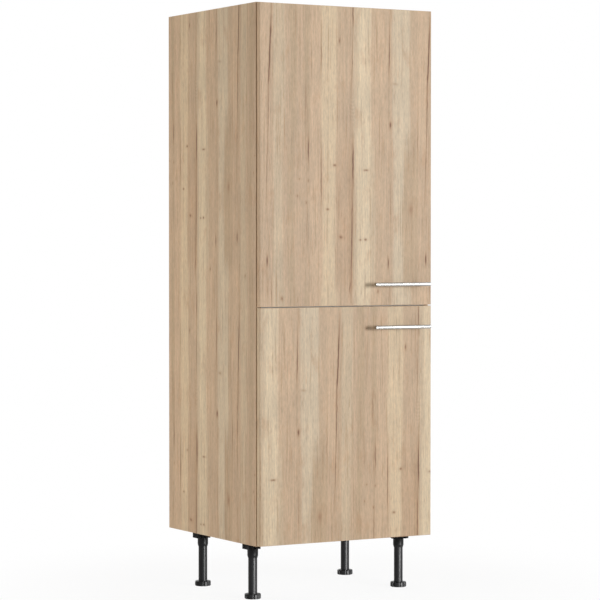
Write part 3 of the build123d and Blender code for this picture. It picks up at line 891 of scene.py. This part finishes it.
def stand_in(node: str, mesh: bpy.types.Mesh, material: bpy.types.Material) -> None:
    """Show a finer mesh in the place of a node, on the node's own body.

    Args:
        node: The node that the mesh stands for.
        mesh: The finer mesh, in the frame's own place.
        material: Its finish.
    """
    mesh.materials.clear()
    mesh.materials.append(material)
    piece = put(mesh.name, mesh)
    bodies = frame["record"]["behaviour"]["bodies"]
    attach(piece, next(name for name, nodes in bodies.items() if node in nodes))
    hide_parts(node)


def ring_faces(rings: int, turns: int) -> tuple[np.ndarray, np.ndarray]:
    """Join a centre point to the rings about it, whose points follow it ring by ring.

    Args:
        rings: Number of rings.
        turns: Number of points in each ring.

    Returns:
        The triangles between the centre and the first ring, and the quads between each ring and the next.
    """
    row = np.arange(turns)
    after = (row + 1) % turns
    fan = np.stack([np.zeros_like(row), row + 1, after + 1], axis=-1)
    base = 1 + np.arange(rings - 1)[:, None] * turns
    quads = np.stack([base + row, base + turns + row, base + turns + after, base + after], axis=-1)
    return fan, quads.reshape(-1, 4)


@dataclass(frozen=True)
class Screw:
    """One screw, measured from its plain solid."""

    RIM_SHARE: ClassVar[float] = 0.97
    SAME_LEVEL: ClassVar[float] = 0.01 * MM

    seat: np.ndarray
    axis: int
    outward: float
    head_radius: float
    head_height: float
    shank_radius: float
    shank_length: float

    @classmethod
    def measured(cls, points: np.ndarray) -> "Screw":
        """Measure a solid that is a head and a shank on one axis.

        Args:
            points: The solid's points.

        Returns:
            The screw. Its axis is the one whose two other spreads agree best.
        """
        low, high = points.min(axis=0), points.max(axis=0)
        spread = high - low
        axis = int(np.argmin(np.abs(np.roll(spread, -1) - np.roll(spread, -2))))
        seat = (low + high) / 2
        radius = np.hypot(*np.delete(points - seat, axis, axis=1).T)
        rim = points[radius > cls.RIM_SHARE * radius.max(), axis]
        outward = 1.0 if high[axis] - rim.max() < rim.min() - low[axis] else -1.0
        top, tip = (high[axis], low[axis]) if outward > 0 else (low[axis], high[axis])
        seat[axis] = rim.min() if outward > 0 else rim.max()
        at_tip = np.abs(points[:, axis] - tip) < cls.SAME_LEVEL
        return cls(seat, axis, outward, float(radius.max()), abs(top - seat[axis]),
                   float(radius[at_tip].max()), abs(seat[axis] - tip))


@dataclass(frozen=True)
class CrossScrews:
    """Pan-head screws with a cross recess, in the place of a node of plain ones.

    Widths and levels are shares of the head's radius and height, and the point's are of the shank's radius.
    """

    node: str
    turns: int = 56
    dome_rings: int = 18
    dome_width: float = 0.88
    dome_fall: float = 0.35
    rim_widths: Point = (0.96, 1.0, 1.0)
    rim_levels: Point = (0.48, 0.25, 0.0)
    point_width: float = 0.5
    point_level: float = 0.3
    recess_reach: float = 0.62
    recess_half_width: float = 0.19
    recess_wall: float = 0.09
    recess_share: float = 0.8
    sharp_angle: float = math.radians(38.0)

    def build(self, plating: bpy.types.Material) -> None:
        """Make one mesh of all the node's screws, which rides where the node does.

        Args:
            plating: Finish of the screws.
        """
        screws = [Screw.measured(points) for points in solids_of(frame["nodes"][self.node].data)]
        shells = np.stack([self.shell(screw) for screw in screws])
        count, size = shells.shape[:2]
        crown, quads = ring_faces((size - 2) // self.turns, self.turns)
        tip = size - 1 - crown
        faces = []
        for part in (crown, quads, tip):
            copies = np.arange(count)[:, None, None] * size + part
            faces += copies.reshape(-1, part.shape[-1]).tolist()
        mesh = bpy.data.meshes.new(f"{self.node}_crosshead")
        mesh.from_pydata(shells.reshape(-1, 3).tolist(), [], faces)
        mesh.polygons.foreach_set("use_smooth", np.ones(len(mesh.polygons), dtype=bool))
        mesh.set_sharp_from_angle(angle=self.sharp_angle)
        stand_in(self.node, mesh, plating)
        LOG.info("built %s: %d screws", mesh.name, count)

    def shell(self, screw: Screw) -> np.ndarray:
        """Work out one screw's points: a profile turned about the axis, with a cross sunk into its dome.

        The dome falls with the square of the radius. The rim rounds down to the seat, and the shank runs to a
        short point. The recess takes a share of the head's height wherever a point lies in either arm of the
        cross, with walls that slope over a short stretch.

        Args:
            screw: The screw's measures.

        Returns:
            The crown's centre, the rings from the crown outwards and down, and the tip.
        """
        wide, tall = screw.head_radius, screw.head_height
        thin, long = screw.shank_radius, screw.shank_length
        share = np.linspace(0.0, 1.0, self.dome_rings + 1)[1:]
        dome, rim = share * self.dome_width, np.array(self.rim_widths)
        radius = np.concatenate([dome * wide, rim * wide, [thin, thin, thin * self.point_width]])[:, None]
        dome, rim = 1.0 - self.dome_fall * share ** 2, np.array(self.rim_levels)
        shank = [0.0, thin - long, self.point_level * thin - long]
        level = np.concatenate([dome * tall, rim * tall, shank])[:, None]
        turn = np.arange(self.turns) * (math.tau / self.turns)
        across, along = radius * np.cos(turn), radius * np.sin(turn)
        sunk = np.maximum(self.arm(across / wide, along / wide), self.arm(along / wide, across / wide))
        height = level - sunk * (level > 0.0) * tall * self.recess_share
        local = np.stack([across * screw.outward, along, height * screw.outward], axis=-1).reshape(-1, 3)
        crown = np.array([[0.0, 0.0, tall * (1.0 - self.recess_share) * screw.outward]])
        tip = np.array([[0.0, 0.0, -long * screw.outward]])
        return np.roll(np.vstack([crown, local, tip]), screw.axis + 1, axis=1) + screw.seat

    def arm(self, along: np.ndarray, across: np.ndarray) -> np.ndarray:
        """How far a point lies in one arm of the cross, from 0 outside to 1 on its floor."""
        end = np.clip((self.recess_reach - np.abs(along)) / self.recess_wall, 0.0, 1.0)
        side = np.clip((self.recess_half_width - np.abs(across)) / self.recess_wall, 0.0, 1.0)
        return end * side


@dataclass(frozen=True)
class CrossCams:
    """Cam locks with a cross recess in their open face, in the place of the plain discs."""

    boards: Sequence[str]
    node: str = "cam_locks"
    reach: float = 4.9 * MM
    half_width: float = 1.15 * MM
    depth: float = 3.5 * MM
    floor_share: float = 0.78
    overshoot: float = 0.5 * MM
    same_point: float = 0.001 * MM
    sharp_angle: float = math.radians(30.0)

    def build(self, plating: bpy.types.Material) -> None:
        """Copy the discs, close their seams and sink a cross into each.

        Args:
            plating: Finish of the cams.
        """
        source = frame["nodes"][self.node].data
        mesh = source.copy()
        joined = bmesh.new()
        joined.from_mesh(mesh)
        bmesh.ops.remove_doubles(joined, verts=joined.verts, dist=self.same_point)
        joined.to_mesh(mesh)
        joined.free()
        discs = put("cam_discs", mesh)
        cutter = put("cam_crosses", self.crosses(solids_of(source)))
        cut = discs.modifiers.new("cross", "BOOLEAN")
        cut.object = cutter
        cut.operation = "DIFFERENCE"
        cut.solver = "EXACT"
        bpy.context.view_layer.update()
        crossed = bpy.data.meshes.new_from_object(discs.evaluated_get(bpy.context.evaluated_depsgraph_get()))
        for part in (discs, cutter):
            bpy.data.meshes.remove(part.data)
        crossed.name = f"{self.node}_crossed"
        crossed.set_sharp_from_angle(angle=self.sharp_angle)
        stand_in(self.node, crossed, plating)
        LOG.info("built %s", crossed.name)

    def crosses(self, solids: Sequence[np.ndarray]) -> bpy.types.Mesh:
        """Work out the recesses: a twelve-cornered cross, from just outside the open face to a smaller floor.

        One arm has three corners, and the other arms are its quarter turns. The open face of a disc is the
        one that is level with a face of a board.

        Args:
            solids: The points of each disc.

        Returns:
            One closed prism for each disc.
        """
        arm = np.array([self.reach - self.half_width * 1j, self.reach + self.half_width * 1j,
                        self.half_width + self.half_width * 1j])
        outline = (1j ** np.arange(4)[:, None] * arm).ravel()
        plane = np.stack([outline.real, outline.imag], axis=-1)
        levels = np.array([corner[2] for board in self.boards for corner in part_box(board)])
        size = len(outline)
        row = np.arange(size)
        after = (row + 1) % size
        points, faces = [], []
        for number, solid in enumerate(solids):
            low, high = solid.min(axis=0), solid.max(axis=0)
            up = 1.0 if np.abs(levels - high[2]).min() < np.abs(levels - low[2]).min() else -1.0
            level = high[2] if up > 0 else low[2]
            centre = (low + high)[:2] / 2
            mouth, floor = (
                np.column_stack([plane * share + centre, np.full(size, level + up * shift)])
                for share, shift in ((1.0, self.overshoot), (self.floor_share, -self.depth))
            )
            points.append(np.vstack([mouth, floor]))
            walls = np.stack([size + row, size + after, after, row], axis=-1)
            caps = [row, size + row[::-1]]
            start = number * 2 * size
            faces += [(face if up > 0 else face[::-1]) + start for face in [*walls, *caps]]
        mesh = bpy.data.meshes.new("cam_crosses")
        mesh.from_pydata(np.vstack(points).tolist(), [], [face.tolist() for face in faces])
        return mesh


@dataclass
class Carcass:
    """The boards and fittings that stand still."""

    side_print: tuple[float, float] = (130.0, 65.0)
    hidden_side_print: tuple[float, float] = (410.0, 300.0)
    level_boards: tuple[str, ...] = (
        "top_panel", "bottom_panel", "fixed_middle_shelf",
        "lower_shelf", "upper_shelf_low", "upper_shelf_high",
    )
    back_panels: tuple[str, ...] = ("upper_back_panel", "lower_back_panel")
    plated: tuple[str, ...] = ("shelf_pins", "cam_bolts", "wall_angles")
    screws: tuple[str, ...] = ("back_panel_screws", "wall_angle_screws", "leg_socket_screws")

    def dress(self, plating: bpy.types.Material) -> None:
        """Finish the sides, level boards, backs and fittings.

        Args:
            plating: Finish of the metal fittings.
        """
        edges = {"-y": Face.DECOR}
        left = Board("left_side_panel", {"-x": Face.DECOR, "+x": Face.WHITE, **edges}, Run.FORWARD,
                     *self.side_print)
        right = Board("right_side_panel", {"+x": Face.DECOR, "-x": Face.WHITE, **edges}, Run.BACKWARD,
                      *self.hidden_side_print)
        level = (Board(node, dict.fromkeys(("-z", "+z", "-y"), Face.WHITE)) for node in self.level_boards)
        for board in (left, right, *level):
            dress(board.material(), board.node)
        dress(Hardboard(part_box(self.back_panels[0])[0][1]).material(), *self.back_panels)
        dress(plating, *self.plated)
        for node in self.screws:
            CrossScrews(node).build(plating)
        CrossCams(self.level_boards).build(plating)
        dress(RawBeech().material(), "wooden_dowels")


@dataclass
class Door:
    """One door with its handle, bumpers and hinges."""

    row: str
    print_across: float
    print_down: float
    skin: float = 1.1 * MM
    faces: tuple[str, ...] = ("-x", "+x", "-y", "+y", "-z", "+z")
    hinge_pieces: tuple[str, ...] = (
        "cups", "cup_pins", "inner_links", "outer_links", "arms", "arm_pins", "plates",
    )
    screws: tuple[str, ...] = ("handle_screws", "hinge_cup_screws", "hinge_screws")

    def dress(self, steel: bpy.types.Material, plating: bpy.types.Material,
              bumper: bpy.types.Material) -> None:
        """Finish the door and what it carries.

        Args:
            steel: Finish of the handle.
            plating: Finish of hinges and screws.
            bumper: Finish of the soft dots.
        """
        board = Board(f"{self.row}_door", dict.fromkeys(self.faces, Face.DECOR), Run.RIGHT,
                      self.print_across, self.print_down, self.skin)
        dress(board.material(), board.node)
        dress(steel, f"{self.row}_handle_bar", f"{self.row}_handle_posts")
        dress(bumper, f"{self.row}_door_bumpers")
        dress(plating, *(f"{self.row}_hinge_{piece}" for piece in self.hinge_pieces))
        for piece in self.screws:
            CrossScrews(f"{self.row}_{piece}").build(plating)


@dataclass
class Legs:
    """The four plastic legs."""

    corners: tuple[str, ...] = ("front_left", "front_right", "rear_left", "rear_right")

    def dress(self) -> None:
        """Finish sockets, stems and feet."""
        plain = BLACK_PLASTIC.material()
        stem_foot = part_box(f"leg_stem_{self.corners[0]}")[0][2]
        spindle_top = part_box(f"foot_{self.corners[0]}")[1][2]
        thread = Thread(stem_foot, spindle_top - MM)
        threaded = replace(BLACK_PLASTIC, name="black_plastic_thread", thread=thread).material()
        for corner in self.corners:
            dress(plain, f"leg_socket_{corner}", f"leg_stem_{corner}")
            dress(threaded, f"foot_{corner}")


@dataclass(frozen=True)
class Lamp:
    """A light that hangs at a place and aims at a target."""

    name: str
    place: Point
    power: float
    target: Point

    def light(self) -> bpy.types.Light:
        """Make the light itself, which each kind of lamp does in its own way."""
        raise NotImplementedError

    def build(self) -> bpy.types.Object:
        """Hang the lamp and aim it.

        Returns:
            The lamp.
        """
        light = self.light()
        light.energy = self.power
        lamp = put(self.name, light)
        lamp.location = self.place
        x, y, z = np.subtract(self.target, self.place)
        lamp.rotation_euler = (math.atan2(math.hypot(x, y), -z), 0.0, math.atan2(y, x) - math.pi / 2)
        return lamp


@dataclass(frozen=True)
class SoftLamp(Lamp):
    """A square soft light."""

    size: float
    colour: tuple[float, float, float] = (1.0, 1.0, 1.0)

    def light(self) -> bpy.types.Light:
        """Make a square area light."""
        light = bpy.data.lights.new(self.name, "AREA")
        light.shape = "SQUARE"
        light.size = self.size
        light.color = self.colour
        return light


@dataclass(frozen=True)
class LowBeam(Lamp):
    """A flat beam along the floor, which draws a light line down each leg."""

    target: Point = (0.0, 0.0, 0.06)
    half_width: float = 0.75
    half_height: float = 0.09
    radius: float = 0.01
    softness: float = 0.5

    def light(self) -> bpy.types.Light:
        """Make a spot light as wide as the beam at its target."""
        light = bpy.data.lights.new(self.name, "SPOT")
        light.shadow_soft_size = self.radius
        light.spot_size = 2.0 * math.atan2(self.half_width, math.dist(self.target, self.place))
        light.spot_blend = self.softness
        return light

    def build(self) -> bpy.types.Object:
        """Hang the lamp, with its round cone scaled to the flat beam."""
        lamp = super().build()
        lamp.scale = (1.0, self.half_height / self.half_width, 1.0)
        return lamp


@dataclass
class Studio:
    """Floor, light and camera."""

    floor_radius: float = 14.0
    floor_rings: int = 24
    floor_turns: int = 96
    floor_colour: Colour = (0.90, 0.90, 0.90, 1.0)
    floor_roughness: float = 0.6
    floor_fleck: tuple[float, float] = (20 * MM, 3.0)
    floor_fleck_share: float = 0.004
    clear_white: tuple[float, float] = (0.35, 1.3)
    nearest_white: float = 0.91
    ambient: float = 0.18
    surround: Colour = (1.0, 1.0, 1.0, 1.0)
    lens: float = 146.49
    sensor: float = 36.0
    view_end: float = 100.0
    turn: float = math.radians(29.985)
    tilt: float = math.radians(1.378)
    camera_place: Point = (-3.76933, -6.52479, 1.06695)
    lamps: tuple[Lamp, ...] = (
        SoftLamp("key", (4.2, -7.6, 1.4), 371.0, (0.0, -0.2, 0.85), 2.4),
        SoftLamp("side_fill", (-3.45, 1.6, 0.98), 49.0, (-0.3, 0.0, 0.85), 1.6, (1.0, 0.93, 0.81)),
        SoftLamp("overhead", (0.4, -0.6, 4.4), 42.0, (0.0, 0.0, 0.9), 2.6),
        SoftLamp("rear_fill", (1.0, 6.5, 1.6), 120.0, (0.0, 0.3, 0.85), 1.6),
        LowBeam("low_beam", (1.7, -5.75, 0.05), 3200.0),
        LowBeam("low_beam_left", (-0.2, -6.0, 0.05), 1100.0),
    )

    def build(self) -> None:
        """Set up the studio."""
        self.build_floor()
        self.build_world()
        for lamp in self.lamps:
            lamp.build()
        self.build_camera()
        bpy.context.scene.view_settings.view_transform = "Standard"

    def build_floor(self) -> None:
        """Lay a round floor: radius grows with the first parameter, the second goes round."""
        radii = np.linspace(0.0, 1.0, self.floor_rings + 1)[1:] ** 2 * self.floor_radius
        angles = np.arange(self.floor_turns) * (math.tau / self.floor_turns)
        ring, turn = np.meshgrid(radii, angles, indexing="ij")
        points = np.stack([ring * np.cos(turn), ring * np.sin(turn), np.zeros_like(ring)], axis=-1)
        points = np.vstack([np.zeros((1, 3)), points.reshape(-1, 3)])
        fan, quads = ring_faces(self.floor_rings, self.floor_turns)
        mesh = bpy.data.meshes.new("floor")
        mesh.from_pydata(points.tolist(), [], fan.tolist() + quads.tolist())
        mesh.materials.append(self.floor_material())
        floor = put("floor", mesh)

    def floor_material(self) -> bpy.types.Material:
        """A pale floor that clears to the white surround, for the camera and in reflections.

        It clears most away from the cabinet. The clear share also shows a foot that is screwed out below it.

        Returns:
            The material.
        """
        graph = Graph("pale_floor")
        x, y, _ = graph.place()
        fleck = graph.speckle(*self.floor_fleck)
        finish = {"Color": self.floor_colour, "Roughness": self.floor_roughness}
        matt = graph.node("ShaderNodeBsdfDiffuse", inputs=finish)
        clear = graph.node("ShaderNodeBsdfTransparent")
        distance = graph.math("SQRT", x * x + y * y)
        farther = distance.rise(*self.clear_white, 1.0 - self.nearest_white)
        share = farther + self.nearest_white + fleck * self.floor_fleck_share
        inputs = {0: graph.seen() * share, 1: matt, 2: clear}
        return graph.end(graph.node("ShaderNodeMixShader", inputs=inputs))

    def build_world(self) -> None:
        """A white surround for the camera and for reflections, and a softer one for the light."""
        graph = Graph("studio", Home.WORLD)
        soft, white = (
            graph.node("ShaderNodeBackground", inputs={"Color": self.surround, "Strength": strength})
            for strength in (self.ambient, 1.0)
        )
        inputs = {0: graph.seen(), 1: soft, 2: white}
        bpy.context.scene.world = graph.end(graph.node("ShaderNodeMixShader", inputs=inputs))

    def build_camera(self) -> None:
        """Put the camera where the photograph was taken from, tilted slightly down."""
        data = bpy.data.cameras.new("camera")
        data.lens = self.lens
        data.sensor_width = self.sensor
        data.clip_end = self.view_end
        camera = put("camera", data)
        camera.location = self.camera_place
        camera.rotation_euler = (math.pi / 2 - self.tilt, 0.0, -self.turn)
        bpy.context.scene.camera = camera


def main() -> None:
    """Dress the cabinet and set the studio."""
    logging.basicConfig(level=logging.INFO, format="%(name)s: %(message)s")
    plating, steel, bumper = (finish.material() for finish in (PLATED_STEEL, SATIN_STEEL, CLEAR_BUMPER))
    Carcass().dress(plating)
    for door in (Door("upper", 0.0, 0.0), Door("lower", 320.0, -21.0)):
        door.dress(steel, plating, bumper)
    Legs().dress()
    Studio().build()


if __name__ == "__main__":
    main()
